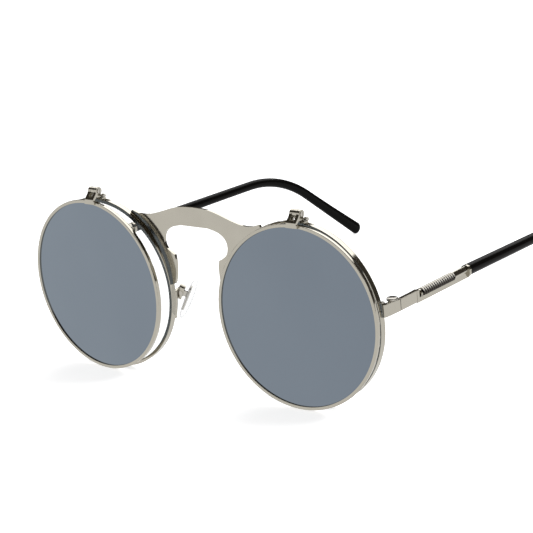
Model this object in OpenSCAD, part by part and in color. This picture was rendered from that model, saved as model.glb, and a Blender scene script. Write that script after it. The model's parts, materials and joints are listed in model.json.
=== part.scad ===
// Flip up sunglasses. Two round rims with clear lenses hang from a stamped bridge.
// A mirror lens in its own ring is hinged above each rim and swings up in front.
// The temples fold on screws at the ends and carry a small coil spring each.
//
// Everything is drawn in the frame of the front: X runs to the viewer's right,
// Y runs back along the temples and Z runs up the front. The origin is midway
// between the rims, on their front faces. stand() then leans the whole object
// until the rims and the temple tips touch the ground together.
// "Right" is the side with positive X. Sizes are in millimetres.

/* [Rims] */
// Distance between the centres of the rims
rim_span = 70; // [69:0.5:71]
// Outer radius of the rims and of the flip rings
rim_r = 24.7; // [24.5:0.1:24.9]
// Wall of a rim between its outer face and the lens
rim_wall = 1.0; // [0.9:0.05:1.1]
// Depth of a rim from front to back
rim_depth = 1.9; // [1.8:0.05:2]
// Thickness of a clear lens
clear_t = 1.0; // [0.8:0.1:1.1]

/* [Flip lenses] */
// How far outboard of the rim each flip ring hangs
flip_out = 1.0; // [0.8:0.1:1.2]
// Depth of a flip ring from front to back
flip_depth = 1.25; // [1.1:0.05:1.3]
// Distance from the rim's front face to the flip ring's front face
flip_ahead = 2.9; // [2.8:0.1:3.2]
// Turn of each flip ring about the vertical, inner side forwards
flip_turn = 3.3; // [2:0.1:3.5]
// How far the right flip ring stands open at rest, in degrees
open_right = 2.6; // [0:0.1:4]
// How far the left flip ring stands open at rest, in degrees
open_left = 0.3; // [0:0.1:4]
// Half the distance between the two flip hinges
hinge_x = 35.4; // [35.2:0.05:35.6]

/* [Bridge] */
// Thickness of the bridge plate
plate_t = 0.85; // [0.7:0.05:0.9]
// Front face of the bridge plate behind the rims' front faces
plate_y = 1.1; // [0.9:0.05:1.2]

/* [Temples] */
// Outer face of the end pieces and temples from the middle of the front
outer_x = 60.9; // [60.8:0.05:61]
// Height of the temple plate
bar_h = 3.05; // [2.9:0.05:3.1]
// How far the temple tips curve inwards
tip_inward = 5.2; // [4:0.2:5.4]
// Turns of each coil spring
coil_turns = 14; // [10:1:14]
// Thickness of the spring's wire
coil_wire = 0.5; // [0.44:0.02:0.52]

/* [Hidden] */
right = 1;
left = -1;
round_fn = 48;
ring_fn = 180;

silver = [0.72, 0.70, 0.66];
bright = [0.80, 0.79, 0.76];

// Rims and lenses
rim_x = rim_span / 2;
lens_r = rim_r - rim_wall;
edge = 0.12;
groove = 0.3;
slit = 0.12;
lock_z = 3.7;
flip_wall = 0.9;
flip_lens_r = rim_r - flip_wall;
flip_x = rim_x + flip_out;
flip_z = 0.15;
mirror_t = 0.8;
mirror_back = 0.8;

// Flip hinge: its axis runs along X
axis_y = -0.7;
axis_z = 27.25;
hinge_shift = 1.5;
barrel_r = 1.1;
pin_r = 0.5;
running = 0.05;
knuckle_in = 0.72;
knuckle_out = 1.6;
tab_t = 0.55;
heel_at = [0, 0.83, -1.43];
heel_r = 0.6;

// Temple hinge: its axis leans back by axis_lean in the frame of the front
axis_lean = 3;
hinge_at = [outer_x - 1.3, 5.6, 3.4];
split_y = 7.3;
split_gap = 0.05;
knuckle_r = 1.2;
tongue_r = 0.98;
tongue_h = 1.1;
hinge_pin_r = 0.5;

// Temple: straight metal part, then the tip's straight, bend and end
metal_slope = 1.03;
temple_z = 3.38;
plate_in = outer_x - 1.3;
plate_l = 7.35;
block_l = 3.3;
block_r = 1.6;
coil_x = outer_x - 0.72;
coil_z = 0.37;
coil_r = 0.86;
coil_pitch = 0.96;
coil_from = 9.3;
bend_r = 0.55;
bend_rings = 3;
ring_steps = 8;
ferrule_end = 31.9;
ferrule_r = 1.03;
collar_l = 0.9;
seat = 0.35;
rod_r = 0.52;

tip_slope = 1.9;
tip_run = 57.1;
tip_bend_r = 43.9;
tip_bend = 37.4;
tip_end = 29.7;
tip_in_from = 92;
tip_in_run = 50;
core_r = 0.65;
core_short = 9;
tip_sides = 12;

// Nose pads: place of the pad's middle, its turns and its size
pad_at = [9.7, 6.1, -3.3];
pad_turn = [-8, -26, -28];
pad_half = 5.9;
pad_t = 2.2;
pad_pin = [2.6, 0, 0.8];
box_t = 1.7;
box_w = 2.4;
box_h = 4.2;
box_in = 1.9;

// Points of the temple tip's middle line, s millimetres past the ferrule
metal_dy = (ferrule_end - seat) * cos(metal_slope);
tip_y0 = split_y + split_gap + metal_dy;
tip_z0 = temple_z - (ferrule_end - seat) * sin(metal_slope);
bend_l = tip_bend_r * tip_bend * PI / 180;
tip_l = tip_run + bend_l + tip_end;
function after_run() = [tip_y0 + tip_run * cos(tip_slope), tip_z0 - tip_run * sin(tip_slope)];
function on_bend(turn) = after_run() + tip_bend_r * [
  sin(tip_slope + turn) - sin(tip_slope), cos(tip_slope + turn) - cos(tip_slope)];
function tip_angle(s) =
  s < tip_run ? tip_slope
  : s < tip_run + bend_l ? tip_slope + tip_bend * (s - tip_run) / bend_l
  : tip_slope + tip_bend;
function tip_yz(s) =
  s < tip_run ? [tip_y0 + s * cos(tip_slope), tip_z0 - s * sin(tip_slope)]
  : s < tip_run + bend_l ? on_bend(tip_bend * (s - tip_run) / bend_l)
  : on_bend(tip_bend)
    + (s - tip_run - bend_l) * [cos(tip_slope + tip_bend), -sin(tip_slope + tip_bend)];
function tip_x(y) = coil_x - tip_inward * pow(max(0, (y - tip_in_from) / tip_in_run), 1.7);
function ring_at(p, a, w, h) = [for (i = [0:tip_sides - 1]) let (t = 360 * i / tip_sides, up = h / 2 * sin(t))
  [tip_x(p[0]) + w / 2 * cos(t), p[0] + up * sin(a), p[1] + up * cos(a)]];
function tip_ring(s, w, h) = ring_at(tip_yz(s), tip_angle(s), w, h);

// Width and height of the tip along its length, with a rounded end
function tip_width(u) = 2.9 - 0.3 * u;
function tip_height(u) = 3.3 - 0.9 * u + 1.9 * pow(u, 4);
function end_round(d) = d > 1.8 ? 1 : sqrt(1 - pow(1 - d / 1.8, 2));
tip_neck = 2.4;
neck_l = seat + 0.02;
tip_stations = concat(
  [0, neck_l],
  [for (i = [1:4]) tip_run * i / 5],
  [for (i = [0:9]) tip_run + bend_l * i / 9],
  [for (d = [21, 14, 8, 4, 1.8, 0.9, 0.3, 0.04]) tip_l - d]);
tip_rings = concat(
  [tip_ring(0, tip_neck, tip_neck), tip_ring(neck_l, tip_neck, tip_neck)],
  [for (s = tip_stations) if (s > 0) let (f = end_round(tip_l - s))
    tip_ring(s, tip_width(s / tip_l) * f, tip_height(s / tip_l) * f)]);
core_stations = [for (s = tip_stations) if (s < tip_l - core_short) s];
core_in = 3.5;
core_front = ring_at([tip_y0 - core_in * cos(metal_slope), tip_z0 + core_in * sin(metal_slope)],
  metal_slope, 2 * core_r, 2 * core_r);
sleeve_rings = [for (s = core_stations) tip_ring(s, 2 * core_r, 2 * core_r)];
core_rings = concat([core_front], sleeve_rings);

// The lean that lets the rims and the tips touch the ground together
tip_points = [for (r = tip_rings) for (p = r) p];
lean = atan(max([for (p = tip_points) (-rim_r - p[2]) / p[1]]));
function stood(p) = [p[0], p[1] * cos(lean) - p[2] * sin(lean), p[1] * sin(lean) + p[2] * cos(lean)];
back_y = max([for (p = tip_points) stood(p)[1]]);
// The foremost point is on the front edge of the flip ring that stands open more
open_most = max(open_right, open_left);
function flip_edge(a) = let (r = rim_r - edge,
    y = r * cos(a) * sin(flip_turn) - flip_ahead - axis_y, z = r * sin(a) + flip_z - axis_z)
  [0, axis_y + y * cos(open_most) + z * sin(open_most), axis_z - y * sin(open_most) + z * cos(open_most)];
front_y = min([for (a = [0:2:358]) stood(flip_edge(a))[1]]);
centre_y = (back_y + front_y) / 2;
echo(lean = lean, centre_y = centre_y, ground = rim_r * cos(lean), tip_length = tip_l);

// Faces of a stack of rings with n points each, its ends left open
function skin(rows, n, from, flip) = [for (j = [0:rows - 2]) for (i = [0:n - 1])
  let (a = from + j * n + i, b = from + j * n + (i + 1) % n, c = a + n, d = b + n)
  each flip ? [[a, b, c], [b, d, c]] : [[a, c, b], [b, c, d]]];
function fan(n, from, flip) = [for (i = [1:n - 2])
  flip ? [from, from + i + 1, from + i] : [from, from + i, from + i + 1]];

// Moves the front's frame to the ground, and mirrors a piece for the left side
module stand() translate([0, -centre_y, rim_r * cos(lean)]) rotate([lean, 0, 0]) children();
module side(s) stand() mirror([s < 0 ? 1 : 0, 0, 0]) children();
module about_y(x, profile) translate([x, 0, 0]) rotate([-90, 0, 0])
  rotate_extrude($fn = ring_fn) polygon(profile);
module rod(a, b, r) {
  v = b - a;
  translate(a) rotate([0, acos(v[2] / norm(v)), atan2(v[1], v[0])]) cylinder(h = norm(v), r = r, $fn = round_fn);
}
module pin_x(x0, x1, r) translate([x0, 0, 0]) rotate([0, 90, 0]) cylinder(h = x1 - x0, r = r, $fn = round_fn);
module block(low, high) translate(low) cube(high - low);
// A plate drawn in Y and Z, and cut square between two values of X
module slab_x(x0, x1, outline) translate([x0, 0, 0]) rotate([90, 0, 90]) linear_extrude(x1 - x0) polygon(outline);

function ring_profile(inner, depth, groove_y) = [
  [inner, 0], [rim_r - edge, 0], [rim_r, edge], [rim_r, depth - edge], [rim_r - edge, depth], [inner, depth],
  [inner, groove_y + groove], [inner + groove, groove_y], [inner, groove_y - groove]];
function lens_profile(inner, t, groove_y) = [
  [0, groove_y - t / 2], [inner, groove_y - t / 2], [inner, groove_y - groove], [inner + groove, groove_y],
  [inner, groove_y + groove], [inner, groove_y + t / 2], [0, groove_y + t / 2]];

// Rims: solid rings with a groove for the lens and a slit where the lock clamps them.
// The lock's screw runs in a shallow channel along the rim's outer face.
lock_screw = [outer_x - 1.1, 1.1];
lock_screw_r = 0.3;
lock_low = 2;
module lock_bore() translate([lock_screw[0], lock_screw[1], lock_low])
  cylinder(h = 7, r = lock_screw_r, $fn = round_fn);
module rim() color(silver) difference() {
  about_y(rim_x, ring_profile(lens_r, rim_depth, rim_depth / 2));
  block([rim_x + lens_r - 1, -1, lock_z - slit / 2], [rim_x + rim_r + 1, rim_depth + 1, lock_z + slit / 2]);
  lock_bore();
}
module rim_space() translate([rim_x, -1, 0]) rotate([-90, 0, 0]) cylinder(h = 9, r = rim_r, $fn = ring_fn);
module clear_lens() color([0.85, 0.90, 0.92, 0.35]) about_y(rim_x, lens_profile(lens_r, clear_t, rim_depth / 2));

// Bridge: half of its outline, from the middle of the top edge round to the foot
plate_lean = 3;
plate_top = 22;
function spline(p, steps) = [for (i = [0:len(p) - 2]) for (k = [0:steps - 1])
  let (t = k / steps, a = p[max(i - 1, 0)], b = p[i], c = p[i + 1], d = p[min(i + 2, len(p) - 1)])
  0.5 * (2 * b + (c - a) * t + (2 * a - 5 * b + 4 * c - d) * t * t + (3 * b - a - 3 * c + d) * t * t * t)];
top_edge = spline([[0, 24.9], [6, 24.45], [13.4, 22.3], [17.2, 21.5], [20, 21.6], [22.2, 22.25], [22.6, 22.05]], 6);
in_rim = [[23.3, 20.8], [20, 12], [15, 2]];
foot_edge = spline([[10.6, 2.3], [8.7, 2.9], [8, 4.6], [7.7, 6.8], [7.6, 9.2], [7.9, 11.1]], 5);
lobe_edge = spline([[7.9, 11.1], [9.4, 11.9], [10.8, 13.2], [11.2, 15.3], [10.4, 17.3], [8.1, 18.8], [4.7, 19.6]], 5);
half_bridge = concat(top_edge, in_rim, foot_edge, lobe_edge, [[4.7, 19.6], [0, 19.6]]);
module half_plate() difference() {
  translate([0, plate_y, plate_top]) rotate([90 - plate_lean, 0, 0]) translate([0, -plate_top, -plate_t])
    linear_extrude(plate_t) polygon(half_bridge);
  rim_space();
}
module bridge_plate() color(silver) stand() {
  half_plate();
  mirror([1, 0, 0]) half_plate();
}

// Rim lock: an upper and a lower block on the ends of the rim, drawn together by a screw
lock_x = outer_x - 0.75;
lock_top = 5.8;
module rim_lock() color(silver) difference() {
  union() {
    block([rim_x + rim_r - 0.6, 0.4, lock_z + slit / 2], [lock_x, 1.8, lock_top]);
    block([rim_x + rim_r - 0.6, 0.4, lock_low + 0.2], [lock_x, 1.8, lock_z - slit / 2]);
  }
  rim_space();
  lock_bore();
}
module rim_screw() color(bright) translate([lock_screw[0], lock_screw[1], 0]) difference() {
  union() {
    translate([0, 0, lock_low]) cylinder(h = lock_top - lock_low, r = lock_screw_r, $fn = round_fn);
    translate([0, 0, lock_top]) cylinder(h = 0.3, r = 0.45, $fn = round_fn);
  }
  block([-1, -0.08, lock_top + 0.15], [1, 0.08, 7]);
}

// End piece: a bent strap with two hinge leaves on its inner side
module lean_axis() translate(hinge_at) rotate([-axis_lean, 0, 0]) children();
end_plan = [[lock_x, 0.5], [outer_x - 0.5, 0.5], [outer_x - 0.25, 0.57], [outer_x - 0.07, 0.75], [outer_x, 1.0],
  [outer_x, split_y], [plate_in, split_y], [plate_in, 1.8], [lock_x, 1.8]];
module tongue_slot() lean_axis() {
  cylinder(h = tongue_h, r = tongue_r + 0.07, center = true, $fn = round_fn);
  block([-3, 0, -tongue_h / 2], [tongue_r + 0.02, 3, tongue_h / 2]);
  block([-3, -tongue_r, -tongue_h / 2], [0.02, 1, tongue_h / 2]);
}
module endpiece() color(silver) difference() {
  union() {
    intersection() {
      linear_extrude(9) polygon(end_plan);
      slab_x(50, 70, [[0, 2.2], [split_y, 1.85], [split_y, 4.9], [0, 5.5]]);
    }
    lean_axis() translate([0, 0, -1.5]) cylinder(h = 3.2, r = knuckle_r, $fn = round_fn);
  }
  tongue_slot();
  lean_axis() translate([0, 0, -2]) cylinder(h = 4, r = hinge_pin_r, $fn = round_fn);
}
module temple_screw() color(bright) lean_axis() difference() {
  union() {
    translate([0, 0, -1.5]) cylinder(h = 3.2, r = hinge_pin_r, $fn = round_fn);
    translate([0, 0, 1.7]) cylinder(h = 0.45, r = 1.5, $fn = round_fn);
    translate([0, 0, 2.15]) cylinder(h = 0.3, r1 = 1.5, r2 = 1.1, $fn = round_fn);
  }
  block([-2, -0.14, 2.1], [2, 0.14, 3]);
}

// Temple: pieces on the straight metal part are drawn along its own slope
module metal() translate([0, split_y + split_gap, temple_z]) rotate([-metal_slope, 0, 0]) children();
module temple_plate() color(silver) difference() {
  union() {
    metal() block([plate_in, 0, -bar_h / 2], [outer_x, plate_l, bar_h / 2]);
    lean_axis() translate([0, 0, 0]) {
      cylinder(h = tongue_h - 2 * running, r = tongue_r, center = true, $fn = round_fn);
      block([-0.6, 0, -tongue_h / 2 + running], [tongue_r - 0.08, 2.1, tongue_h / 2 - running]);
    }
  }
  lean_axis() cylinder(h = 3, r = hinge_pin_r + running, center = true, $fn = round_fn);
}

// Spring block: its rear end is round and its top is scooped out for the spring
block_end = plate_l + block_l;
module spring_block() color(silver) metal() difference() {
  union() {
    block([plate_in - 0.1, plate_l, -1.7], [outer_x + 0.05, block_end, 1.5]);
    translate([0, block_end, -0.1]) pin_x(plate_in - 0.1, outer_x + 0.05, block_r);
  }
  translate([coil_x, 8.4, coil_z]) rotate([-90, 0, 0]) cylinder(h = 9, r = 1.18, $fn = round_fn);
  block([plate_in - 1, 8.4, coil_z], [outer_x + 1, 13, 3]);
  block([plate_in - 1, plate_l, -3], [outer_x + 1, 13, -1.75]);
}
// Bar and rod: the rod carries the spring and is joined to the flat bar behind it
module spring_bar() color(silver) metal() {
  difference() {
    block([plate_in + 0.05, block_end, -1.75], [outer_x, bar_end, -0.5]);
    translate([0, block_end, -0.1]) pin_x(plate_in - 1, outer_x + 1, block_r);
    translate([coil_x, coil_from, coil_z]) rotate([-90, 0, 0]) cylinder(h = coil_l, r = 1.18, $fn = round_fn);
  }
  translate([coil_x, 8.4, coil_z]) rotate([-90, 0, 0]) cylinder(h = bar_end - 8.4, r = rod_r, $fn = round_fn);
  translate([coil_x, coil_from - 0.5, coil_z]) rotate([-90, 0, 0]) cylinder(h = 0.5, r = 1.12, $fn = round_fn);
  block([coil_x - 0.4, bar_end - web_t, -0.6], [coil_x + 0.4, bar_end, coil_z]);
}

// Coil spring: one wire from the collar to the ferrule, its ends straight along the rod
// Each point holds the distance along the rod, the angle round it and the wire's own slope
coil_climb = atan(coil_pitch / (2 * PI * coil_r));
bend_most = 90 - coil_climb;
bend_arc = bend_r * (1 - cos(bend_most)) / coil_r * 180 / PI;
bend_y = coil_wire + bend_r * sin(bend_most);
coil_l = 2 * bend_y + coil_turns * coil_pitch;
function into_bend(k) = let (b = bend_most * k / bend_rings)
  [coil_wire + bend_r * sin(b), bend_r * (1 - cos(b)) / coil_r * 180 / PI, b];
coil_rows = concat(
  [[0, 0, 0]],
  [for (k = [0:bend_rings - 1]) into_bend(k)],
  [for (k = [0:coil_turns * ring_steps])
    [bend_y + coil_pitch * k / ring_steps, bend_arc + 360 * k / ring_steps, bend_most]],
  [for (k = [bend_rings - 1:-1:0]) let (b = into_bend(k))
    [coil_l - b[0], 2 * bend_arc + 360 * coil_turns - b[1], b[2]]],
  [[coil_l, 2 * bend_arc + 360 * coil_turns, 0]]);
coil_start = -90;
function coil_centre(row) = let (a = coil_start + row[1]) [coil_r * cos(a), row[0], coil_r * sin(a)];
function coil_ring(row) = let (a = coil_start + row[1], b = row[2],
    out = [cos(a), 0, sin(a)], along = [-sin(a) * sin(b), cos(b), cos(a) * sin(b)], third = cross(along, out))
  [for (i = [0:5]) coil_centre(row) + coil_wire / 2 * (cos(60 * i) * out + sin(60 * i) * third)];
module coil_spring() color(bright) metal() translate([coil_x, coil_from, coil_z]) {
  n = len(coil_rows);
  polyhedron(
    points = [for (row = coil_rows) each coil_ring(row)],
    faces = concat(skin(n, 6, 0, false), fan(6, 0, false), fan(6, 6 * (n - 1), true)));
}
// Least gap between stretches of the wire that are over half a turn apart
coil_path = [for (row = coil_rows) coil_centre(row)];
coil_gap = min([for (i = [0:len(coil_path) - 1]) for (j = [i + 5:1:min(i + 12, len(coil_path) - 1)])
  norm(coil_path[i] - coil_path[j])]) - coil_wire;
echo(coil_turns = coil_turns, least_coil_gap = coil_gap, coil_length = coil_l);

// Ferrule: closes the spring and holds the tip in its rear collar
ferrule_from = coil_from + coil_l;
web_t = 0.4;
bar_end = ferrule_from + web_t;
module ferrule() color(silver) metal() difference() {
  union() {
    translate([coil_x, ferrule_from, coil_z]) rotate([-90, 0, 0])
      cylinder(h = ferrule_end - ferrule_from, r = ferrule_r, $fn = round_fn);
    block([plate_in + 0.05, ferrule_from, -1.75], [outer_x, ferrule_end, coil_z]);
    translate([coil_x, ferrule_end - collar_l, 0.15]) rotate([-90, 0, 0]) cylinder(h = collar_l, r = 1.45, $fn = round_fn);
    translate([coil_x, ferrule_end - collar_l, -0.4]) rotate([-90, 0, 0]) cylinder(h = collar_l, r = 1.45, $fn = round_fn);
  }
  translate([coil_x, ferrule_from - 1, coil_z]) rotate([-90, 0, 0]) cylinder(h = 1 + web_t, r = rod_r, $fn = round_fn);
  block([plate_in, ferrule_from - 1, -3], [outer_x + 1, bar_end, -0.5]);
  block([coil_x - 0.4, ferrule_from - 1, -0.6], [coil_x + 0.4, bar_end, coil_z]);
  translate([coil_x, ferrule_end - seat, 0]) rotate([-90, 0, 0]) cylinder(h = 3, r = 1.28, $fn = round_fn);
  translate([coil_x, ferrule_end - 4, 0]) rotate([-90, 0, 0]) cylinder(h = 5, r = core_r, $fn = round_fn);
}
// Core: a stiff wire from inside the ferrule almost to the end of the tip
module temple_core() color([0.6, 0.6, 0.6]) {
  n = len(core_rings);
  polyhedron(
    points = [for (r = core_rings) each r],
    faces = concat(skin(n, tip_sides, 0, true), fan(tip_sides, 0, true), fan(tip_sides, tip_sides * (n - 1), false)));
}
// Tip: a sleeve with a blind channel for the core
module temple_tip() color([0.05, 0.05, 0.05]) {
  n = len(tip_rings);
  m = len(sleeve_rings);
  inner = n * tip_sides;
  polyhedron(
    points = concat([for (r = tip_rings) each r], [for (r = sleeve_rings) each r]),
    faces = concat(
      skin(n, tip_sides, 0, true), fan(tip_sides, tip_sides * (n - 1), false),
      skin(m, tip_sides, inner, false), fan(tip_sides, inner + tip_sides * (m - 1), true),
      [for (i = [0:tip_sides - 1]) let (k = (i + 1) % tip_sides) each [[i, inner + i, k], [k, inner + i, inner + k]]]));
}

// Flip hinge: the knuckle on the rim carries the two knuckles of the tab
function hinge_mid(s) = s * hinge_x + hinge_shift;
module flip_axis(x) translate([x, axis_y, axis_z]) children();
neck_side = [[-0.3, -0.9], [0.2, -3.1], [2.4, -3.1], [2.4, -2.4], [1.4, -1.4], [1, -0.5]];
saddle_side = [[0.7, -3.3], [2.4, -3.3], [2.4, -2.3], [0.7, -2.3]];
module flip_bracket(s) color(silver) stand() difference() {
  flip_axis(hinge_mid(s)) {
    pin_x(-knuckle_in + running, knuckle_in - running, barrel_r);
    slab_x(-knuckle_in + running, knuckle_in - running, neck_side);
    slab_x(-knuckle_out, knuckle_out, saddle_side);
    translate(heel_at) pin_x(-knuckle_in + running, knuckle_in - running, heel_r);
  }
  mirror([s < 0 ? 1 : 0, 0, 0]) rim_space();
  flip_axis(hinge_mid(s)) {
    pin_x(-5, 5, pin_r + running);
    translate(heel_at) pin_x(-5, 5, 0.3);
  }
}
module stop_pin(s) color(bright) stand() flip_axis(hinge_mid(s)) translate(heel_at) {
  pin_x(-2.2, 2.2, 0.3);
  for (e = [-1, 1]) rotate([0, 90 * e, 0]) {
    translate([0, 0, 1.75]) cylinder(h = 0.25, r1 = 0.4, r2 = heel_r, $fn = round_fn);
    translate([0, 0, 2]) cylinder(h = 0.6, r = heel_r, $fn = round_fn);
    translate([0, 0, 2.6]) cylinder(h = 0.25, r1 = heel_r, r2 = 0.4, $fn = round_fn);
  }
}

// The flip ring and what is on it swing about the hinge's axis
module swung(s) stand() flip_axis(0) rotate([-(s > 0 ? open_right : open_left), 0, 0]) flip_axis_back() children();
module flip_axis_back() translate([0, -axis_y, -axis_z]) children();
module flip_place(s) translate([s * flip_x, -flip_ahead, flip_z]) rotate([0, 0, s * flip_turn]) children();
module flip_ring(s) color(silver) swung(s) flip_place(s)
  about_y(0, ring_profile(flip_lens_r, flip_depth, mirror_back));
module mirror_lens(s) color([0.47, 0.51, 0.55]) swung(s) flip_place(s)
  about_y(0, lens_profile(flip_lens_r, mirror_t, mirror_back));
tab_front = -flip_ahead - axis_y - tab_t;
tab_low = -3.25;
tab_top = -1.3;
foot_half = 1.85;
leg_side = [[tab_front, tab_low], [tab_front + 0.7, tab_low], [tab_front + 0.7, -2.1], [-0.5, -0.95], [0, 0],
  [-0.95, 0.45], [-1.4, -0.5], [tab_front, -1.9]];
foot_side = [[tab_front, tab_low], [tab_front + 0.7, tab_low], [tab_front + 0.7, -2.4], [tab_front, -2.4]];
window = [[-4, tab_top], [-4, 3], [3, 3], [3, -6], [tab_front + 1, -6], [tab_front + 1, -2], [-1.2, tab_top]];
module flip_tab(s) color(silver) swung(s) difference() {
  flip_axis(hinge_mid(s)) difference() {
    union() {
      slab_x(-knuckle_out, knuckle_out, leg_side);
      slab_x(-foot_half, foot_half, foot_side);
      pin_x(-knuckle_out, knuckle_out, barrel_r);
    }
    slab_x(-knuckle_in, knuckle_in, window);
    pin_x(-5, 5, pin_r);
  }
  flip_place(s) rotate([-90, 0, 0]) cylinder(h = 3, r = rim_r, $fn = ring_fn);
}
module flip_screw(s) color(bright) swung(s) flip_axis(hinge_mid(s)) difference() {
  union() {
    pin_x(-knuckle_out, knuckle_out, pin_r);
    pin_x(knuckle_out, knuckle_out + 0.2, 0.7);
  }
  block([knuckle_out + 0.08, -0.13, -2], [knuckle_out + 2, 0.13, 2]);
}

// Nose pads: the arm and box are fixed to the rim, the core and pad rock on the box's screw
module pad_frame() translate(pad_at) rotate(pad_turn) children();
function in_front(p) = let (a = pad_turn[0], b = pad_turn[1], c = pad_turn[2],
    q = [p[0], p[1] * cos(a) - p[2] * sin(a), p[1] * sin(a) + p[2] * cos(a)],
    r = [q[0] * cos(b) + q[2] * sin(b), q[1], -q[0] * sin(b) + q[2] * cos(b)])
  pad_at + [r[0] * cos(c) - r[1] * sin(c), r[0] * sin(c) + r[1] * cos(c), r[2]];
arm_r = 0.45;
arm_y = rim_depth + arm_r;
arm_ring = rim_r - 0.55;
arm_low = 161.2;
arm_high = 179;
function on_rim(a) = [rim_x + arm_ring * cos(a), arm_y, -arm_ring * sin(a)];
box_mid = [box_in + box_t / 2, 0, pad_pin[2]];
elbow = on_rim(arm_high) + [0.3, 1.2, 0.3];
arm_to = in_front(box_mid + [box_t / 2, 0, 0.6]);
module pad_arm() color(silver) {
  translate([rim_x, arm_y, 0]) rotate([-90, 0, 0]) rotate([0, 0, arm_low])
    rotate_extrude(angle = arm_high - arm_low, $fn = ring_fn) translate([arm_ring, 0]) circle(r = arm_r, $fn = 32);
  for (p = [on_rim(arm_low), on_rim(arm_high), elbow]) translate(p) sphere(r = arm_r + 0.04, $fn = 32);
  rod(on_rim(arm_low), on_rim(arm_low) + [-0.1, 0.4, -0.1], 0.4);
  rod(on_rim(arm_high), elbow, arm_r - 0.02);
  arm_foot();
}
module arm_foot() rod(elbow, arm_to, arm_r);
module pad_box() color(silver) difference() {
  pad_frame() difference() {
    union() {
      block(box_mid - [box_t, box_w, box_h - 1.4] / 2, box_mid + [box_t, box_w, box_h - 1.4] / 2);
      for (e = [-1, 1]) translate(box_mid + [0, 0, e * (box_h - 1.9) / 2]) pin_x(-box_t / 2, box_t / 2, 0.95);
    }
    block([box_in - 1, -0.55, pad_pin[2] - 1.1], [box_in + 1.35, 0.55, pad_pin[2] + 1.1]);
    translate(pad_pin - [0, 2, 0]) rotate([-90, 0, 0]) cylinder(h = 4, r = 0.3, $fn = round_fn);
  }
  arm_foot();
}
module pad_screw() color(bright) pad_frame() translate(pad_pin) rotate([-90, 0, 0]) {
  translate([0, 0, -box_w / 2]) cylinder(h = box_w, r = 0.3, $fn = round_fn);
  translate([0, 0, -box_w / 2 - 0.3]) cylinder(h = 0.3, r = 0.55, $fn = round_fn);
}
module pad_leaf() rotate([0, 90, 0]) linear_extrude(0.5) hull() {
  translate([2.2, 0]) circle(r = 1.6, $fn = 32);
  translate([-2.2, 0]) circle(r = 1.3, $fn = 32);
}
module pad_core() color([0.75, 0.76, 0.76]) pad_frame() difference() {
  union() {
    translate([0.2, 0, 0]) pad_leaf();
    block([0.4, -0.45, pad_pin[2] - 0.75], [pad_pin[0] + 0.5, 0.45, pad_pin[2] + 0.75]);
  }
  translate(pad_pin - [0, 2, 0]) rotate([-90, 0, 0]) cylinder(h = 4, r = 0.3 + running, $fn = round_fn);
}
module pad_disc(z, r, x, t) translate([x - t / 2, 0, z]) rotate([0, 90, 0]) cylinder(h = t, r = r, $fn = 32);
module nose_pad() color([0.9, 0.93, 0.95, 0.6]) pad_frame() difference() {
  hull() {
    pad_disc(-pad_half + 3.3, 3.3, 0.15, 0.9);
    pad_disc(pad_half - 2.6, 2.6, 0.15, 0.9);
    pad_disc(-pad_half + 3.3, 2.5, 0, pad_t);
    pad_disc(pad_half - 2.6, 1.8, 0, pad_t);
  }
  translate([0.2, 0, 0]) pad_leaf();
  block([0.5, -0.45, pad_pin[2] - 0.75], [3, 0.45, pad_pin[2] + 0.75]);
}

bridge_plate();
side(right) rim();  // rim_right
side(left) rim();  // rim_left
side(right) clear_lens();  // clear_lens_right
side(left) clear_lens();  // clear_lens_left
side(right) rim_lock();  // rim_lock_right
side(left) rim_lock();  // rim_lock_left
side(right) rim_screw();  // rim_screw_right
side(left) rim_screw();  // rim_screw_left
flip_bracket(right);  // flip_bracket_right
flip_bracket(left);  // flip_bracket_left
stop_pin(right);  // stop_pin_right
stop_pin(left);  // stop_pin_left
side(right) endpiece();  // endpiece_right
side(left) endpiece();  // endpiece_left
side(right) temple_screw();  // temple_screw_right
side(left) temple_screw();  // temple_screw_left
side(right) pad_arm();  // pad_arm_right
side(left) pad_arm();  // pad_arm_left
side(right) pad_box();  // pad_box_right
side(left) pad_box();  // pad_box_left
side(right) pad_screw();  // pad_screw_right
side(left) pad_screw();  // pad_screw_left
side(right) pad_core();  // pad_core_right
side(left) pad_core();  // pad_core_left
side(right) nose_pad();  // nose_pad_right
side(left) nose_pad();  // nose_pad_left
flip_ring(right);  // flip_ring_right
flip_ring(left);  // flip_ring_left
mirror_lens(right);  // mirror_lens_right
mirror_lens(left);  // mirror_lens_left
flip_tab(right);  // flip_tab_right
flip_tab(left);  // flip_tab_left
flip_screw(right);  // flip_screw_right
flip_screw(left);  // flip_screw_left
side(right) temple_plate();  // temple_plate_right
side(left) temple_plate();  // temple_plate_left
side(right) spring_block();  // spring_block_right
side(left) spring_block();  // spring_block_left
side(right) spring_bar();  // spring_bar_right
side(left) spring_bar();  // spring_bar_left
side(right) coil_spring();  // coil_spring_right
side(left) coil_spring();  // coil_spring_left
side(right) ferrule();  // ferrule_right
side(left) ferrule();  // ferrule_left
side(right) temple_core();  // temple_core_right
side(left) temple_core();  // temple_core_left
side(right) temple_tip();  // temple_tip_right
side(left) temple_tip();  // temple_tip_left
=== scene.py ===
# %% [markdown]
# # Flip up sunglasses
# A pair of round metal sunglasses stands open on a white table. Mirror lenses hang in
# front of clear ones and swing up on small hinges. The solids were drawn to size
# elsewhere and come in as a frame. This lesson gives every piece soft edges and a
# finish, makes the pieces whose shape needs more than the frame has, and lights them.

# %% Load the frame
import json
from math import atan2, cos, pi, radians, sin, sqrt
import bmesh
import bpy
from mathutils import Matrix, Vector


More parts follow.
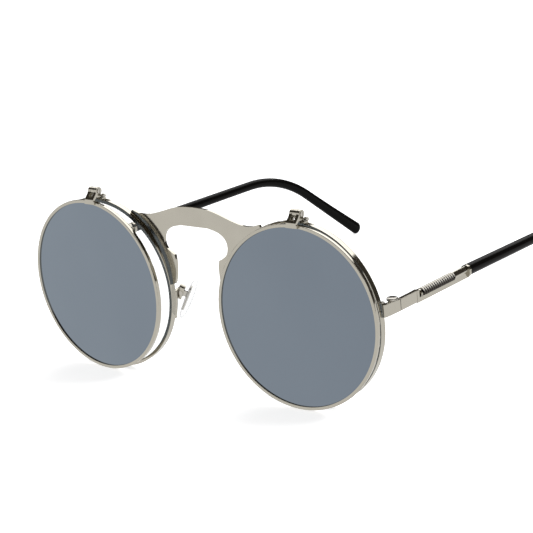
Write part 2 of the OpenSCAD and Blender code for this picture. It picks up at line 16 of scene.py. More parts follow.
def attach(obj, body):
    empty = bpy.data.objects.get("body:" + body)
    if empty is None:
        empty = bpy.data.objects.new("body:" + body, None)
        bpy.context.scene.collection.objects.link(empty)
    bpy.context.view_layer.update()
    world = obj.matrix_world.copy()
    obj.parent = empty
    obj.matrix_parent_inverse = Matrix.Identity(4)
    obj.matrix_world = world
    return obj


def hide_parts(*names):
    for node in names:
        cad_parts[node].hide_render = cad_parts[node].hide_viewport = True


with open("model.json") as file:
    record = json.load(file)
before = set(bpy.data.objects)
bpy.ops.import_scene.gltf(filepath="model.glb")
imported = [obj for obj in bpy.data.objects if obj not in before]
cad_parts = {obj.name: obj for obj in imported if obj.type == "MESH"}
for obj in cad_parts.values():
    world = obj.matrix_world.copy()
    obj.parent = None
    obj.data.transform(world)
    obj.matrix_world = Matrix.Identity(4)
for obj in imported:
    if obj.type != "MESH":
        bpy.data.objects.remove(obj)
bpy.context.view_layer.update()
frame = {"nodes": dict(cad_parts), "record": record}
nodes = frame["nodes"]
members_of_body = frame["record"]["behaviour"]["bodies"]
body_of_node = {n: body for body, members in members_of_body.items() for n in members}
slot_of_node = {s["node"]: s["material_slot"] for s in frame["record"]["subparts"]}

# %% [markdown]
# The camera stands to the front right and a little above, and is rolled slightly. Its
# place and its long lens were worked out from the outlines of the round lenses, which
# look like ellipses whose tilt gives the direction.

# %% Set up the camera
MM = 0.001
image_width = 533
focal_pixels = 1745.5
sensor_width = 36
camera_place = Vector((0.304161, -0.403592, 0.158928))
camera_azimuth, camera_elevation, camera_roll = radians(40.03), radians(15.755), radians(-4.924)

camera_data = bpy.data.cameras.new("camera")
camera_data.sensor_width = sensor_width
camera_data.lens = focal_pixels * sensor_width / image_width
camera_data.clip_start = 0.01
camera = bpy.data.objects.new("camera", camera_data)
bpy.context.scene.collection.objects.link(camera)
camera.matrix_world = (
    Matrix.Translation(camera_place)
    @ Matrix.Rotation(camera_azimuth, 4, "Z")
    @ Matrix.Rotation(pi / 2 - camera_elevation, 4, "X")
    @ Matrix.Rotation(camera_roll, 4, "Z")
)
bpy.context.scene.camera = camera
print("lens", round(camera_data.lens, 1), "mm")

# %% [markdown]
# Finishes are built from nodes. Writing them as sums and products is easier to read than
# making and linking each node by hand. A small class wraps an output socket, so that
# `0.2 + 0.1 * grain` adds the Math nodes itself.

# %% Write shader maths as expressions
class Flow:
    """The output of a node, which can be added to, multiplied and so on."""

    def __init__(self, finish, socket):
        self.finish, self.socket = finish, socket

    def maths(self, operation, first, second):
        return self.finish.node("ShaderNodeMath", {"operation": operation}, {0: first, 1: second})

    def __add__(self, other):
        return self.maths("ADD", self, other)

    def __radd__(self, other):
        return self.maths("ADD", other, self)

    def __rsub__(self, other):
        return self.maths("SUBTRACT", other, self)

    def __mul__(self, other):
        return self.maths("MULTIPLY", self, other)

    def __rmul__(self, other):
        return self.maths("MULTIPLY", other, self)

    def __pow__(self, other):
        return self.maths("POWER", self, other)


class Nodes:
    """A node tree, with one method that adds any kind of node."""

    def __init__(self, tree):
        self.tree = tree

    def fill(self, target, value):
        if isinstance(value, Flow):
            self.tree.links.new(value.socket, target)
        elif isinstance(value, (tuple, list)) and len(value) == 3 and target.type == "RGBA":
            target.default_value = (*value, 1)
        else:
            target.default_value = value

    def node(self, kind, settings=None, values=None, output=0):
        made = self.tree.nodes.new(kind)
        for key, value in (settings or {}).items():
            setattr(made, key, value)
        for key, value in (values or {}).items():
            self.fill(made.inputs[key], value)
        return Flow(self, made.outputs[output])

    def ray(self, kind):
        """1 for rays of one kind, such as Camera, and 0 for all others."""
        return self.node("ShaderNodeLightPath", output=f"Is {kind} Ray")


class Finish(Nodes):
    """A material: a main shader whose sockets are set by name."""

    def __init__(self, name, colour, **sockets):
        self.material = bpy.data.materials.new(name)
        self.material.use_nodes = True
        super().__init__(self.material.node_tree)
        self.shader = self.tree.nodes["Principled BSDF"]
        self.set("Base Color", colour)
        for key, value in sockets.items():
            self.set(key.replace("_", " ").title().replace("Ior", "IOR"), value)

    def set(self, socket, value):
        self.fill(self.shader.inputs[socket], value)

    def place(self, axis=None):
        """The place on the object in metres, or one axis of it."""
        place = self.node("ShaderNodeTexCoord", output="Object")
        if not axis:
            return place
        return self.node("ShaderNodeSeparateXYZ", values={"Vector": place}, output=axis)

    def noise(self, per_mm, stretch=(1, 1, 1), detail=3):
        """Noise between 0 and 1 with about per_mm blotches to the millimetre."""
        scaled = self.node("ShaderNodeMapping", values={"Vector": self.place(), "Scale": stretch})
        values = {"Vector": scaled, "Scale": per_mm / MM, "Detail": detail}
        return self.node("ShaderNodeTexNoise", values=values)

    def blend(self, factor, first, second):
        values = {0: factor, 6: first, 7: second}
        return self.node("ShaderNodeMix", {"data_type": "RGBA"}, values, output=2)

    def bump(self, height, depth_mm, strength):
        values = {"Height": height, "Distance": depth_mm * MM, "Strength": strength}
        self.set("Normal", self.node("ShaderNodeBump", values=values))

print("three classes ready:", Flow.__name__, Nodes.__name__, Finish.__name__)

# %% [markdown]
# The rims, the bridge and the temples are nickel silver, a white metal with a warm cast.
# Its flat faces are polished, then handled, so the shine is uneven: slow blotches change
# the colour a little and finer ones the roughness, and hair-fine scratches run along it.
# A picture of metal could be laid on, but noise from nodes has no seams on so many small
# pieces. The wire of the coil springs is brighter, and its under side is painted darker as shade.

# %% Make the silver metal
def silver_metal(name, light, dark, shine, scratches=0.25):
    finish = Finish(name, light, metallic=1.0)
    blotches = finish.noise(0.12)
    grain = finish.noise(1.6, detail=5)
    hairs = finish.noise(0.9, stretch=(1, 9, 14), detail=4)
    finish.tone = finish.blend(blotches, light, dark)
    finish.set("Base Color", finish.tone)
    finish.set("Roughness", shine + 0.05 * grain)
    finish.bump(hairs, 0.004, scratches)
    return finish

metal = silver_metal("silver_metal", (0.50, 0.475, 0.41), (0.43, 0.405, 0.345), 0.06)
screw_metal = silver_metal("screw_metal", (0.54, 0.52, 0.475), (0.44, 0.415, 0.37), 0.06, 0.15)
wire_metal = silver_metal("wire_metal", (0.93, 0.90, 0.83), (0.84, 0.81, 0.74), 0.07, 0.1)

# Painted shade: the wire's colour darkens towards its lower side, where the coil is in shadow.
painted_shade_tone, shade_starts_at_mm, shade_deepens_per_mm = (0.05, 0.043, 0.036), 29.5, 1.6
painted_shade_below = (shade_starts_at_mm - wire_metal.place("Z") * (1 / MM)) * shade_deepens_per_mm
wire_metal.set("Base Color", wire_metal.blend(painted_shade_below, wire_metal.tone, painted_shade_tone))
print("metals made:", metal.material.name, screw_metal.material.name, wire_metal.material.name)

# %% [markdown]
# A mirror lens is grey plastic with a thin metal coating. It reflects like dark chrome
# with a cold cast. Real coatings are never quite even, so the tone drifts slowly, and a
# few faint smears dull it. A painted reflection also makes the coating paler from the
# right lens to the left. Nothing shows through the lens, so a plain metal shader will do,
# and no thin film has to be worked out.

# %% Make the mirror coating
def painted_reflection_across(finish):
    """Painted reflection, 0 at the right end of the front and 0.5 at the left end."""
    half_front = 60 * MM
    return 0.25 - finish.place("X") * (0.25 / half_front)

def mirror_coating(name, tone, paler_tone_and_reflection):
    finish = Finish(name, tone, metallic=1.0)
    # The drift is partly random tone and partly painted reflection, paler towards the left lens.
    drift_and_painted_reflection = finish.noise(0.03, detail=2) * 0.5 + painted_reflection_across(finish)
    smears = finish.noise(0.25, stretch=(1, 1, 0.4), detail=4)
    finish.set("Base Color", finish.blend(drift_and_painted_reflection, tone, paler_tone_and_reflection))
    finish.set("Roughness", 0.04 + 0.05 * smears)
    return finish

coating = mirror_coating("mirror_coating", (0.172, 0.203, 0.242), (0.225, 0.262, 0.302))
print("coating made")

# %% [markdown]
# The inner lenses are clear plastic, and the nose pads are clear soft silicone. Both are
# mostly seen by their edges, where one looks through more material, so the alpha rises
# where a surface turns away. Bent light could be traced through them, but in parts this
# thin it would add little but noise. The tips are black plastic with a moulded gloss.

# %% Make the plastics
clear_lens = Finish("clear_lens", (0.90, 0.93, 0.94))
turned_away = clear_lens.node("ShaderNodeLayerWeight", values={"Blend": 0.5}, output="Facing")
dust = clear_lens.noise(0.5)
clear_lens.set("Alpha", 0.08 + 0.35 * turned_away ** 3.0)
clear_lens.set("Roughness", 0.02 + 0.05 * dust)

silicone = Finish("clear_silicone", (0.66, 0.68, 0.70), roughness=0.12)
rim_of_pad = silicone.node("ShaderNodeLayerWeight", values={"Blend": 0.45}, output="Facing")
cloud = silicone.noise(0.3)
silicone.set("Alpha", 0.08 + 0.06 * cloud + 0.75 * rim_of_pad ** 2.0)
silicone.bump(silicone.noise(0.8), 0.01, 0.3)

black_gloss = Finish("black_gloss", (0.008, 0.008, 0.008), specular_ior_level=0.05)
flow_marks = black_gloss.noise(0.15, stretch=(1, 0.2, 1))
tip_black = black_gloss.blend(flow_marks, (0.002, 0.002, 0.002), (0.005, 0.0045, 0.004))
black_gloss.set("Base Color", tip_black)
black_gloss.set("Roughness", 0.14 + 0.10 * black_gloss.noise(1.2))
black_gloss.bump(flow_marks, 0.01, 0.4)

finish_of_slot = {
    "silver_metal": metal, "screws": screw_metal, "spring_wire": wire_metal, "mirror_lens": coating,
    "clear_lens": clear_lens, "clear_pad": silicone, "black_tip": black_gloss,
}

# %% [markdown]
# The front leans a little so that it stands on its rims and tips. Pieces made here are
# placed in the front's own frame, in millimetres, and then stood up the same way. A
# place on a temple is given by its distance along the temple and its height on it.

# %% Place things on the front and on the temples
lean, front_to_middle, front_height = radians(1.57726), 70.4396, 24.6906
split_y, temple_height, temple_slope = 7.35, 3.38, radians(1.03)
flip_axle, flip_hang, flip_yaw = (0, -0.7, 27.25), (36, -2.9, 0.15), radians(3.3)
sides = {"right": 1, "left": -1}
flip_open = {sides["right"]: radians(2.6), sides["left"]: radians(0.3)}

def standing(side):
    """From millimetres in the front's frame to metres on the table."""
    place = Matrix.Translation(Vector((0, -front_to_middle, front_height)) * MM)
    return place @ Matrix.Rotation(lean, 4, "X") @ Matrix.Diagonal((side * MM, MM, MM, 1))

def along_temple(side):
    """From millimetres along the straight metal part of a temple to metres."""
    start = Matrix.Translation((0, split_y, temple_height))
    return standing(side) @ start @ Matrix.Rotation(-temple_slope, 4, "X")

def on_flip(side):
    """From millimetres in a flip ring's own frame, its middle on the front face, to metres."""
    axle = Matrix.Translation(flip_axle)
    hung = Matrix.Translation(flip_hang) @ Matrix.Rotation(flip_yaw, 4, "Z")
    opened = Matrix.Rotation(-flip_open[side], 4, "X")
    return standing(side) @ axle @ opened @ axle.inverted() @ hung

print("temple starts at", (along_temple(1) @ Vector((59.6, 0, 0))).to_tuple(4))

# %% [markdown]
# A piece made in Blender stands for one solid of the frame. It has to move with the same
# body and have the finish of the same slot. Both are looked up by the solid's name, so
# that one helper does it for every piece and none is forgotten.

# %% Put a piece in the place of a solid
def dress_extra(piece, node, shape):
    """Puts a finished bmesh in the scene, with the finish and the body of a solid."""
    mesh = bpy.data.meshes.new(piece)
    shape.to_mesh(mesh)
    shape.free()
    made = bpy.data.objects.new(piece, mesh)
    bpy.context.scene.collection.objects.link(made)
    mesh.materials.append(finish_of_slot[slot_of_node[node]].material)
    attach(made, body_of_node[node])
    return made

def dress(piece, node, shape):
    """Puts a finished bmesh in the scene in place of a solid."""
    made = dress_extra(piece, node, shape)
    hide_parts(node)
    return made

print("solids to dress:", len(slot_of_node))

# %% [markdown]
# A stamped plate is flat between its worn edges and reflects like a small mirror. Smooth
# shading alone would bend the reflections of the whole plate towards its edges. Blender's
# weighted normal modifier is one way to stop that. Here it is written out, so that no
# piece has to carry a modifier: each corner of a face takes the mean direction of the
# faces round it that lie within 50 degrees, and large faces count for more.

# %% Shade smooth, but keep flat faces flat
sharp_corner, same_face = 32, 50

def smooth_faces(shape, corner):
    """Shades all faces smooth, but not across edges of more than the corner's degrees."""
    for face in shape.faces:
        face.smooth = True
    for edge in shape.edges:
        edge.smooth = len(edge.link_faces) == 2 and edge.calc_face_angle(0) < radians(corner)

def keep_flats_flat(piece):
    """Shades large faces by their own direction, so that only the worn edges look round."""
    mesh, near = piece.data, cos(radians(same_face))
    faces_at = [[] for _ in mesh.vertices]
    for face in mesh.polygons:
        for index in face.vertices:
            faces_at[index].append((face.normal.copy(), face.area))
    normals = []
    for face in mesh.polygons:
        for index in face.vertices:
            parts = [n * area for n, area in faces_at[index] if n.dot(face.normal) > near]
            normals.append(sum(parts, Vector()).normalized() if parts else face.normal.copy())
    mesh.normals_split_custom_set(normals)

print("corners from", sharp_corner, "degrees up stay sharp")

# %% [markdown]
# Three kinds of piece get a little more shape than their solids have. The outer walls of
# the rings fall off to the back, as rolled wire does. The ferrules have flats planed along
# their round tops. The front ends of the temple plates stand back from the hinge, which
# shows as a dark line. These pieces could be made anew, but moving a few vertices of their
# copies keeps the slits, grooves and holes that they already have.

# %% Reshape rings, ferrules and temple plates
rim_middle_x, ring_radius, rim_depth, flip_depth = 35, 24.7, 1.9, 1.25
roll, near_wall = 0.11, 0.02
ferrule_x, ferrule_z, ferrule_radius, near_round = 60.18, 0.37, 1.03, 0.03
lowest_flat, crown_from = radians(5), radians(86)
set_back, near_start = 0.2, 0.03

def roll_back(shape, ring_place, depth):
    """Lets the back half of a ring's outer wall fall inwards in a smooth curve."""
    to_ring = ring_place.inverted()
    on_wall = lambda v: abs((to_ring @ v.co).xz.length - ring_radius) < near_wall
    spans = lambda e: abs((to_ring @ e.verts[0].co - to_ring @ e.verts[1].co).y) > 0.9 * depth
    over_wall = [e for e in shape.edges if all(on_wall(v) for v in e.verts) and spans(e)]
    bmesh.ops.subdivide_edges(shape, edges=over_wall, cuts=7, use_grid_fill=True)
    for vert in shape.verts:
        if on_wall(vert):
            place = to_ring @ vert.co
            back = max(0, 2 * place.y / depth - 1)
            narrow = 1 - roll * depth * back ** 2 / ring_radius
            vert.co = ring_place @ Vector((place.x * narrow, place.y, place.z * narrow))

def flatten_shoulders(shape, to_temple):
    """Planes flats along the crown and the upper shoulders of a ferrule, round in the solid."""
    middle = Matrix.Translation((ferrule_x, 0, ferrule_z))
    round_verts = []
    for vert in shape.verts:
        place = middle.inverted() @ to_temple @ vert.co
        turn = atan2(place.z, abs(place.x))
        if abs(place.xz.length - ferrule_radius) < near_round and turn > lowest_flat:
            round_verts.append((vert, place, turn))
    turns = [turn for _, _, turn in round_verts if turn < crown_from]
    first, last = min(turns), max(turns)
    for vert, place, turn in round_verts:
        on_shoulder = cos((last - first) / 2) / cos(turn - (first + last) / 2)
        inwards = on_shoulder if turn < crown_from else sin(last)
        flat = Vector((place.x * inwards, place.y, place.z * inwards))
        vert.co = to_temple.inverted() @ middle @ flat

def stand_back(shape, to_temple):
    """Moves the front end of a temple plate back a little, to where its worn edge is."""
    for vert in shape.verts:
        place = to_temple @ vert.co
        if abs(place.y) < near_start:
            vert.co = to_temple.inverted() @ (place + Vector((0, set_back, 0)))

def reshape(shape, node):
    """Reshapes the copy of a solid, if it is of one of the three kinds."""
    side = sides["left" if node.endswith("left") else "right"]
    if node.startswith(("rim_right", "rim_left")):
        rim_place = standing(side) @ Matrix.Translation((rim_middle_x, 0, 0))
        roll_back(shape, rim_place, rim_depth)
    if node.startswith("flip_ring"):
        roll_back(shape, on_flip(side), flip_depth)
    if node.startswith("ferrule"):
        flatten_shoulders(shape, along_temple(side).inverted())
    if node.startswith("temple_plate"):
        stand_back(shape, along_temple(side).inverted())

print("rings, ferrules and temple plates get a little more shape")

# %% [markdown]
# Most solids already have the right shape, but their corners are razor sharp, and no real
# metal edge is. A worn edge catches the light as a thin bright line. So a copy of the
# solid is merged, its sharp corners are rounded, and it takes the solid's place. The edges
# are picked by their angle, so that the facets of round walls aren't rounded one by one.
# The widths are in millimetres, and round wires have none.

# %% Round the edges of the solids
def rounded_copy(node, width):
    """A copy of a solid as a bmesh, with worn edges of the given width."""
    shape = bmesh.new()
    shape.from_mesh(nodes[node].data)
    bmesh.ops.remove_doubles(shape, verts=shape.verts, dist=0.002 * MM)
    reshape(shape, node)
    if width:
        between_faces = [e for e in shape.edges if len(e.link_faces) == 2]
        sharp = [e for e in between_faces if e.calc_face_angle(0) > radians(sharp_corner)]
        bmesh.ops.bevel(
            shape, geom=sharp, offset=width * MM, offset_type="OFFSET", segments=2,
            profile=0.5, affect="EDGES", clamp_overlap=True, material=-1,
        )
    smooth_faces(shape, sharp_corner)
    return shape

edge_width = {
    "rim": 0.09, "flip_ring": 0.14, "rim_lock": 0.05, "rim_screw": 0.03, "flip_bracket": 0.06,
    "stop_pin": 0.06, "endpiece": 0.08, "pad_arm": 0, "pad_box": 0.1, "pad_screw": 0.05,
    "pad_core": 0.05, "flip_tab": 0.07, "flip_screw": 0.05, "temple_plate": 0.08,
    "spring_block": 0.09, "spring_bar": 0.07, "ferrule": 0.12, "temple_core": 0,
    "mirror_lens": 0.05, "clear_lens": 0.05,
}
for part, width in edge_width.items():
    for side in sides:
        node = f"{part}_{side}"
        keep_flats_flat(dress(f"{node}_piece", node, rounded_copy(node, width)))
keep_flats_flat(dress("bridge_plate_piece", "bridge_plate", rounded_copy("bridge_plate", 0.07)))
print(2 * len(edge_width) + 1, "solids rounded")

# %% [markdown]
# Each temple carries a small coil spring round a rod. It is a wire wound to a screw line.
# A curve with a round section could draw it, but the spin operator makes the mesh directly:
# a circle of wire turns about the rod and moves on a little at each step. Its ends sit in
# the collar and in the ferrule. A dark sleeve on the rod is painted shadow: it stands for
# the shade seen between the turns.

# %% Wind the coil springs
coil_turns, coil_steps = 16, 24
coil_radius, wire_radius = 0.88, 0.28
coil_from, coil_to = 9.34, 24.78
coil_x, coil_z = 60.18, 0.42
sleeve_radius, sleeve_short = 0.57, 0.4

def shadow_sleeve(side):
    """The dark sleeve on the rod, painted shadow a little shorter than the spring."""
    shape = bmesh.new()
    middle = Matrix.Translation((coil_x, (coil_from + coil_to) / 2, coil_z))
    on_rod = middle @ Matrix.Rotation(pi / 2, 4, "X")
    bmesh.ops.create_cone(
        shape, cap_ends=True, segments=24, radius1=sleeve_radius, radius2=sleeve_radius,
        depth=coil_to - coil_from - sleeve_short, matrix=along_temple(side) @ on_rod,
    )
    bmesh.ops.recalc_face_normals(shape, faces=shape.faces)
    smooth_faces(shape, 60)
    return shape

def wound_spring(side):
    """The wire of one spring, as a bmesh in its place on the temple."""
    shape = bmesh.new()
    upright = Matrix.Translation((coil_radius, 0, 0)) @ Matrix.Rotation(pi / 2, 4, "X")
    ring = bmesh.ops.create_circle(shape, radius=wire_radius, segments=10, matrix=upright)["verts"]
    steps = coil_turns * coil_steps
    climb = (coil_to - coil_from - 2 * wire_radius) / steps
    bmesh.ops.spin(
        shape, geom=ring + shape.edges[:], cent=(0, 0, 0), axis=(0, 0, 1), dvec=(0, 0, climb),
        angle=2 * pi * coil_turns, steps=steps, use_merge=False, use_duplicate=False,
    )
    bmesh.ops.holes_fill(shape, edges=[e for e in shape.edges if e.is_boundary], sides=12)
    start = Matrix.Translation((coil_x, coil_from + wire_radius, coil_z))
    on_rod = start @ Matrix.Rotation(-pi / 2, 4, "X")
    bmesh.ops.transform(shape, matrix=along_temple(side) @ on_rod, verts=shape.verts)
    bmesh.ops.recalc_face_normals(shape, faces=shape.faces)
    smooth_faces(shape, 60)
    return shape

for side, sign in sides.items():
    spring = dress(f"coil_spring_{side}_piece", f"coil_spring_{side}", wound_spring(sign))
    print(spring.name, len(spring.data.polygons), "faces")
    # The dark sleeve is painted shadow between the turns of the spring.
    dress_extra(f"shadow_sleeve_{side}_piece", f"temple_tip_{side}", shadow_sleeve(sign))

# %% [markdown]
# The tips are long plastic sleeves. They run straight back, bend down behind the ear,
# curve inwards and widen to a rounded paddle. They could be bent from a cylinder. Here a
# ring is extruded from station to station and scaled on the way, since that follows the
# measured curve and keeps the sides smooth.

# %% Draw out the temple tips
tip_start, tip_start_height = 38.895, 2.8129
tip_slope, tip_run = radians(1.9), 57.1
bend_radius, bend_angle, tip_end = 43.9, radians(37.4), 29.7
inward, inward_from, inward_run = 5.2, 92, 50
rounded_end, under_size = 1.8, 0.992
end_stations = (24, 19, 14, 10, 6, 3.5, 2.2, 1.7, 1.2, 0.8, 0.5, 0.25, 0.1, 0.02)
bend_length = bend_radius * bend_angle
tip_length = tip_run + bend_length + tip_end

def tip_angle(s):
    return tip_slope + bend_angle * min(max((s - tip_run) / bend_length, 0), 1)

def tip_point(s):
    """The middle line, s millimetres from its front, as (y, z) in the front's frame."""
    run = min(s, tip_run)
    y, z = tip_start + run * cos(tip_slope), tip_start_height - run * sin(tip_slope)
    a = tip_angle(s)
    y, z = y + bend_radius * (sin(a) - sin(tip_slope)), z + bend_radius * (cos(a) - cos(tip_slope))
    rest = max(s - tip_run - bend_length, 0)
    return y + rest * cos(a), z - rest * sin(a)

def tip_frame(s):
    """Matrix of the ring at s: a unit circle in X and Z becomes the section.

    The section is 2.9 by 3.3 mm at the front and would be 2.6 by 4.3 mm at the very end,
    where it closes to a rounded tip.
    """
    u, left_over = s / tip_length, tip_length - s
    past = max(1 - left_over / rounded_end, 0)
    close = sqrt(max(1 - past ** 2, 0.0004))
    y, z = tip_point(s)
    x = coil_x - inward * max(0, (y - inward_from) / inward_run) ** 1.7
    width, height = (2.9 - 0.3 * u) * close, (3.3 - 0.9 * u + 1.9 * u ** 4) * close
    turned = Matrix.Translation((x, y, z)) @ Matrix.Rotation(-tip_angle(s), 4, "X")
    return turned @ Matrix.Diagonal((under_size * width / 2, 1, under_size * height / 2, 1))

def tip_sleeve(side):
    """One whole tip, as a bmesh in its place."""
    shape = bmesh.new()
    stations = [0, 0.12] + [tip_run * i / 8 for i in range(1, 8)]
    stations += [tip_run + bend_length * i / 16 for i in range(17)]
    stations += [tip_length - left_over for left_over in end_stations]
    upright = Matrix.Rotation(pi / 2, 4, "X")
    ring = bmesh.ops.create_circle(
        shape, cap_ends=True, radius=1, segments=28, matrix=upright,
    )["verts"]
    last = tip_frame(0) @ Matrix.Diagonal((0.9, 1, 0.9, 1))
    bmesh.ops.transform(shape, matrix=last, verts=ring)
    edges = [e for e in shape.edges if len(e.link_faces) == 1]
    for s in stations[1:]:
        grown = bmesh.ops.extrude_edge_only(shape, edges=edges)["geom"]
        verts = [g for g in grown if isinstance(g, bmesh.types.BMVert)]
        edges = [g for g in grown if isinstance(g, bmesh.types.BMEdge) and g.is_boundary]
        bmesh.ops.transform(shape, matrix=tip_frame(s) @ last.inverted(), verts=verts)
        last = tip_frame(s)
    bmesh.ops.edgeloop_fill(shape, edges=edges)
    bmesh.ops.transform(shape, matrix=standing(side), verts=shape.verts)
    bmesh.ops.recalc_face_normals(shape, faces=shape.faces)
    smooth_faces(shape, 45)
    return shape

for side, sign in sides.items():
    tip = dress(f"temple_tip_{side}_piece", f"temple_tip_{side}", tip_sleeve(sign))
    print(tip.name, len(tip.data.polygons), "faces, length", round(tip_length, 1), "mm")

# %% [markdown]
# The nose pads are small cushions of silicone, thicker in the middle and wider at the
# bottom. A box could be rounded for them, but a ball is smooth from the start: it is
# pressed flat, its sides are made fuller and one end is narrowed.

# %% Press the nose pads
pad_place = Vector((9.7, 6.1, -3.3))
pad_turn = [radians(a) for a in (-8, -26, -28)]
pad_half, pad_half_width, pad_half_depth = 5.86, 2.95, 1.08
side_power, middle_width, narrowing = 0.72, 1.02, 0.12

def fuller(v):
    return abs(v) ** side_power * (1 if v >= 0 else -1)

def pad_cushion(side):
    """One nose pad, as a bmesh in its place."""
    shape = bmesh.new()
    bmesh.ops.create_uvsphere(shape, u_segments=32, v_segments=24, radius=1)
    for vert in shape.verts:
        x, y, z = vert.co
        narrow = middle_width - narrowing * z
        vert.co = (pad_half_depth * fuller(x), pad_half_width * fuller(y) * narrow, pad_half * z)
    about_x, about_y, about_z = (Matrix.Rotation(a, 4, axis) for a, axis in zip(pad_turn, "XYZ"))
    placed = standing(side) @ Matrix.Translation(pad_place) @ (about_z @ about_y @ about_x)
    bmesh.ops.transform(shape, matrix=placed, verts=shape.verts)
    bmesh.ops.recalc_face_normals(shape, faces=shape.faces)
    smooth_faces(shape, 80)
    return shape

for side, sign in sides.items():
    pad = dress(f"nose_pad_{side}_piece", f"nose_pad_{side}", pad_cushion(sign))
    print(pad.name, len(pad.data.polygons), "faces")

# %% [markdown]
# The temple hinge is held by a large domed screw with a slot and a notched edge, so that
# it can be turned by hand. The dome is a bevelled disc. Every second side face is pushed
# in for the notches, and a strip across the top is pushed down for the slot. Booleans
# could cut both, but pushed faces leave a cleaner mesh.

# %% Turn the temple screws
hinge_place, hinge_lean = Vector((59.6, 5.6, 3.4)), radians(3)
head_radius, head_from, head_top, dome = 1.5, 1.7, 2.45, 0.42
notches, notch_share = 22, 0.11
slot_half, slot_depth, slot_ends, slot_angle = 0.15, 0.32, 0.4, radians(35)
pin_radius, pin_length, pin_middle = 0.49, 3.2, 0.12

def notched_screw(side):
    """One screw of the temple hinge, as a bmesh in its place."""
    shape = bmesh.new()
    middle = Matrix.Translation((0, 0, (head_from + head_top) / 2))
    bmesh.ops.create_cone(
        shape, cap_ends=True, cap_tris=False, segments=2 * notches, radius1=head_radius,
        radius2=head_radius, depth=head_top - head_from, matrix=middle,
    )
    top = [e for e in shape.edges if all(v.co.z > head_top - 0.01 for v in e.verts)]
    bmesh.ops.bevel(
        shape, geom=top, offset=dome, offset_type="OFFSET", segments=4, profile=0.5,
        affect="EDGES", material=-1,
    )

    walls = [f for f in shape.faces if abs(f.normal.z) < 0.1]
    walls.sort(key=lambda f: f.calc_center_median().to_2d().angle_signed(Vector((1, 0))))
    bmesh.ops.inset_individual(shape, faces=walls[::2], thickness=0.015, depth=0)
    for face in walls[::2]:
        centre = face.calc_center_median()
        inwards = Vector((-centre.x, -centre.y, 0)) * notch_share
        bmesh.ops.translate(shape, verts=face.verts, vec=inwards)

    for y in (-slot_half, slot_half):
        everything = shape.verts[:] + shape.edges[:] + shape.faces[:]
        bmesh.ops.bisect_plane(shape, geom=everything, plane_co=(0, y, 0), plane_no=(0, 1, 0))
    between = [f for f in shape.faces if abs(f.calc_center_median().y) < slot_half]
    on_top = [f for f in between if f.calc_center_median().z > head_top - slot_ends]
    strip = [f for f in on_top if f.normal.z > 0.2]
    sunk = bmesh.ops.extrude_face_region(shape, geom=strip)["geom"]
    for vert in (g for g in sunk if isinstance(g, bmesh.types.BMVert)):
        vert.co.z = head_top - slot_depth

    bmesh.ops.create_cone(
        shape, cap_ends=True, segments=32, radius1=pin_radius, radius2=pin_radius,
        depth=pin_length, matrix=Matrix.Translation((0, 0, pin_middle)),
    )
    leaning = Matrix.Translation(hinge_place) @ Matrix.Rotation(-hinge_lean, 4, "X")
    slot_turn = Matrix.Rotation(slot_angle, 4, "Z")
    bmesh.ops.transform(shape, matrix=standing(side) @ leaning @ slot_turn, verts=shape.verts)
    bmesh.ops.recalc_face_normals(shape, faces=shape.faces)
    smooth_faces(shape, 28)
    return shape

for side, sign in sides.items():
    screw = dress(f"temple_screw_{side}_piece", f"temple_screw_{side}", notched_screw(sign))
    print(screw.name, len(screw.data.polygons), "faces")

# %% [markdown]
# The table is plain white, and so is what lies behind it. A white surface lit to less
# than white gets some glow of its own, but only where the camera looks at it, so that
# it adds no light to the glasses and still takes their shadow. In reflections the table
# is an even white and the room hardly darker.

# %% Lay the table and set the background
table_glow, table_reflected = 0.66, 1.0
table_white, table_half = (0.80, 0.80, 0.80), 1.1
table = Finish("white_table", table_white, roughness=1.0, specular_ior_level=0.0)
in_mirror = table.ray("Glossy")
table.set("Base Color", table.blend(in_mirror, table_white, (0.0, 0.0, 0.0)))
table.set("Emission Color", (1.0, 1.0, 1.0))
table.set("Emission Strength", table_glow * table.ray("Camera") + table_reflected * in_mirror)

plane = bmesh.new()
bmesh.ops.create_grid(plane, x_segments=1, y_segments=1, size=table_half)
table_mesh = bpy.data.meshes.new("table")
plane.to_mesh(table_mesh)
plane.free()
table_mesh.materials.append(table.material)
table_top = bpy.data.objects.new("table", table_mesh)
bpy.context.scene.collection.objects.link(table_top)

world = bpy.data.worlds.new("studio")
world.use_nodes = True
bpy.context.scene.world = world
sky = Nodes(world.node_tree)
background = sky.tree.nodes["Background"]
background.inputs["Color"].default_value = (1, 1, 1, 1)
room_light, white, sky_reflected = 0.25, 1.0, 0.97
direct, mirrored = sky.ray("Camera"), sky.ray("Glossy")
strength = room_light + (white - room_light) * direct + (sky_reflected - room_light) * mirrored
sky.fill(background.inputs["Strength"], strength)
print("table glow", table_glow, "room light", room_light)

# %% [markdown]
# Polished metal only looks like metal when it has something dark and something bright to
# reflect. In a studio black cards stand round the object, outside the picture, with a
# bright panel behind them. They are seen in reflections alone, so they neither darken
# nor light the table and the object. The cards glow very faintly, so that a lens that
# mirrors nothing else isn't quite black.

# %% Stand up the black cards and the bright panel
card_finish = Finish("black_card", (0.010, 0.008, 0.006), roughness=1.0, specular_ior_level=0.0)
panel_finish = Finish("bright_panel", (0.0, 0.0, 0.0), roughness=1.0)
for finish, glow_colour, glow in (
    (card_finish, (1.0, 0.92, 0.78), 0.05), (panel_finish, (1.0, 1.0, 1.0), 2.3),
):
    finish.set("Emission Color", glow_colour)
    finish.set("Emission Strength", glow)
    finish.material.cycles.emission_sampling = "NONE"

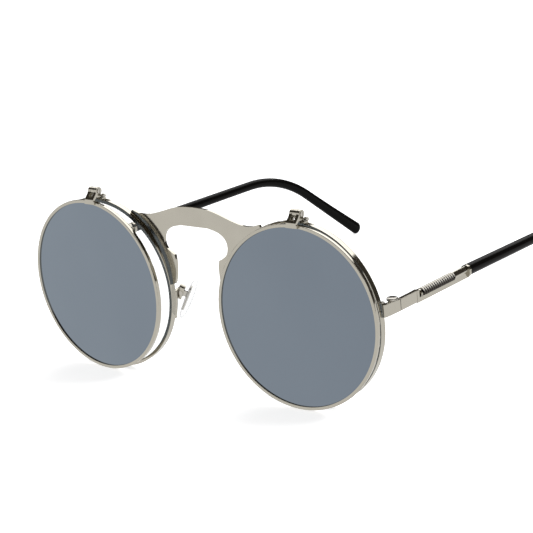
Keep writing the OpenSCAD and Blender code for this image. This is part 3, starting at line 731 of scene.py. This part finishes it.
def upright_card(name, finish, distance, low, high, from_angle, to_angle):
    """A curved upright card. Its angles are in degrees round from +X."""
    shape = bmesh.new()
    start = Vector((cos(radians(from_angle)), sin(radians(from_angle)), 0)) * distance
    a, b = (shape.verts.new(start + Vector((0, 0, z))) for z in (low, high))
    edge = shape.edges.new((a, b))
    bmesh.ops.spin(
        shape, geom=[a, b, edge], cent=(0, 0, 0), axis=(0, 0, 1), dvec=(0, 0, 0),
        angle=radians(to_angle - from_angle), steps=24, use_merge=False,
    )
    mesh = bpy.data.meshes.new(name)
    shape.to_mesh(mesh)
    shape.free()
    mesh.materials.append(finish.material)
    card = bpy.data.objects.new(name, mesh)
    bpy.context.scene.collection.objects.link(card)
    for ray in ("camera", "diffuse", "shadow", "transmission", "volume_scatter"):
        setattr(card, f"visible_{ray}", False)

card_distance, panel_distance = 0.9, 1.0
for name, from_angle, to_angle, top in (
    ("card_right", -20, 30, 0.35), ("card_back_right", 36, 74, 0.90), ("card_back", 74, 108, 0.46),
    ("card_back_left", 108, 127, 0.44), ("card_left", 127, 165, 0.42),
):
    upright_card(name, card_finish, card_distance, 0.0, top, from_angle, to_angle)
upright_card("card_above_front", card_finish, card_distance, 0.45, 1.8, 185, 335)
upright_card("bright_panel", panel_finish, panel_distance, 0.2, 2.2, 60, 165)
print("six cards and a panel stand", card_distance, "to", panel_distance, "m from the middle")

# %% [markdown]
# Three large soft lamps light the object: one above and to the left, one on the right,
# and one behind. A lamp would shine in reflections right through the cards, so the lamps
# are left out there, and the panel and the white room stand in for them.

# %% Hang the lamps
def soft_lamp(name, place, size, power):
    """An area lamp that aims at the middle of the table."""
    data = bpy.data.lights.new(name, "AREA")
    data.shape, data.size, data.size_y, data.energy = "RECTANGLE", *size, power
    lamp = bpy.data.objects.new(name, data)
    bpy.context.scene.collection.objects.link(lamp)
    lamp.visible_glossy = False
    aimed = (-Vector(place)).to_track_quat("-Z", "Y").to_matrix().to_4x4()
    lamp.matrix_world = Matrix.Translation(place) @ aimed

soft_lamp("key_lamp", (-0.35, -0.3, 0.9), (0.7, 0.7), 1.5)
soft_lamp("right_lamp", (0.9, 0.5, 0.8), (0.35, 0.35), 7)
soft_lamp("back_lamp", (-0.13, 0.63, 0.77), (1.2, 1.1), 9)
print("three lamps hang")

# %% [markdown]
# At last the view is set to Standard, so that colours come out as they are rendered.

# %% Keep the rendered colours
bpy.context.scene.view_settings.view_transform = "Standard"
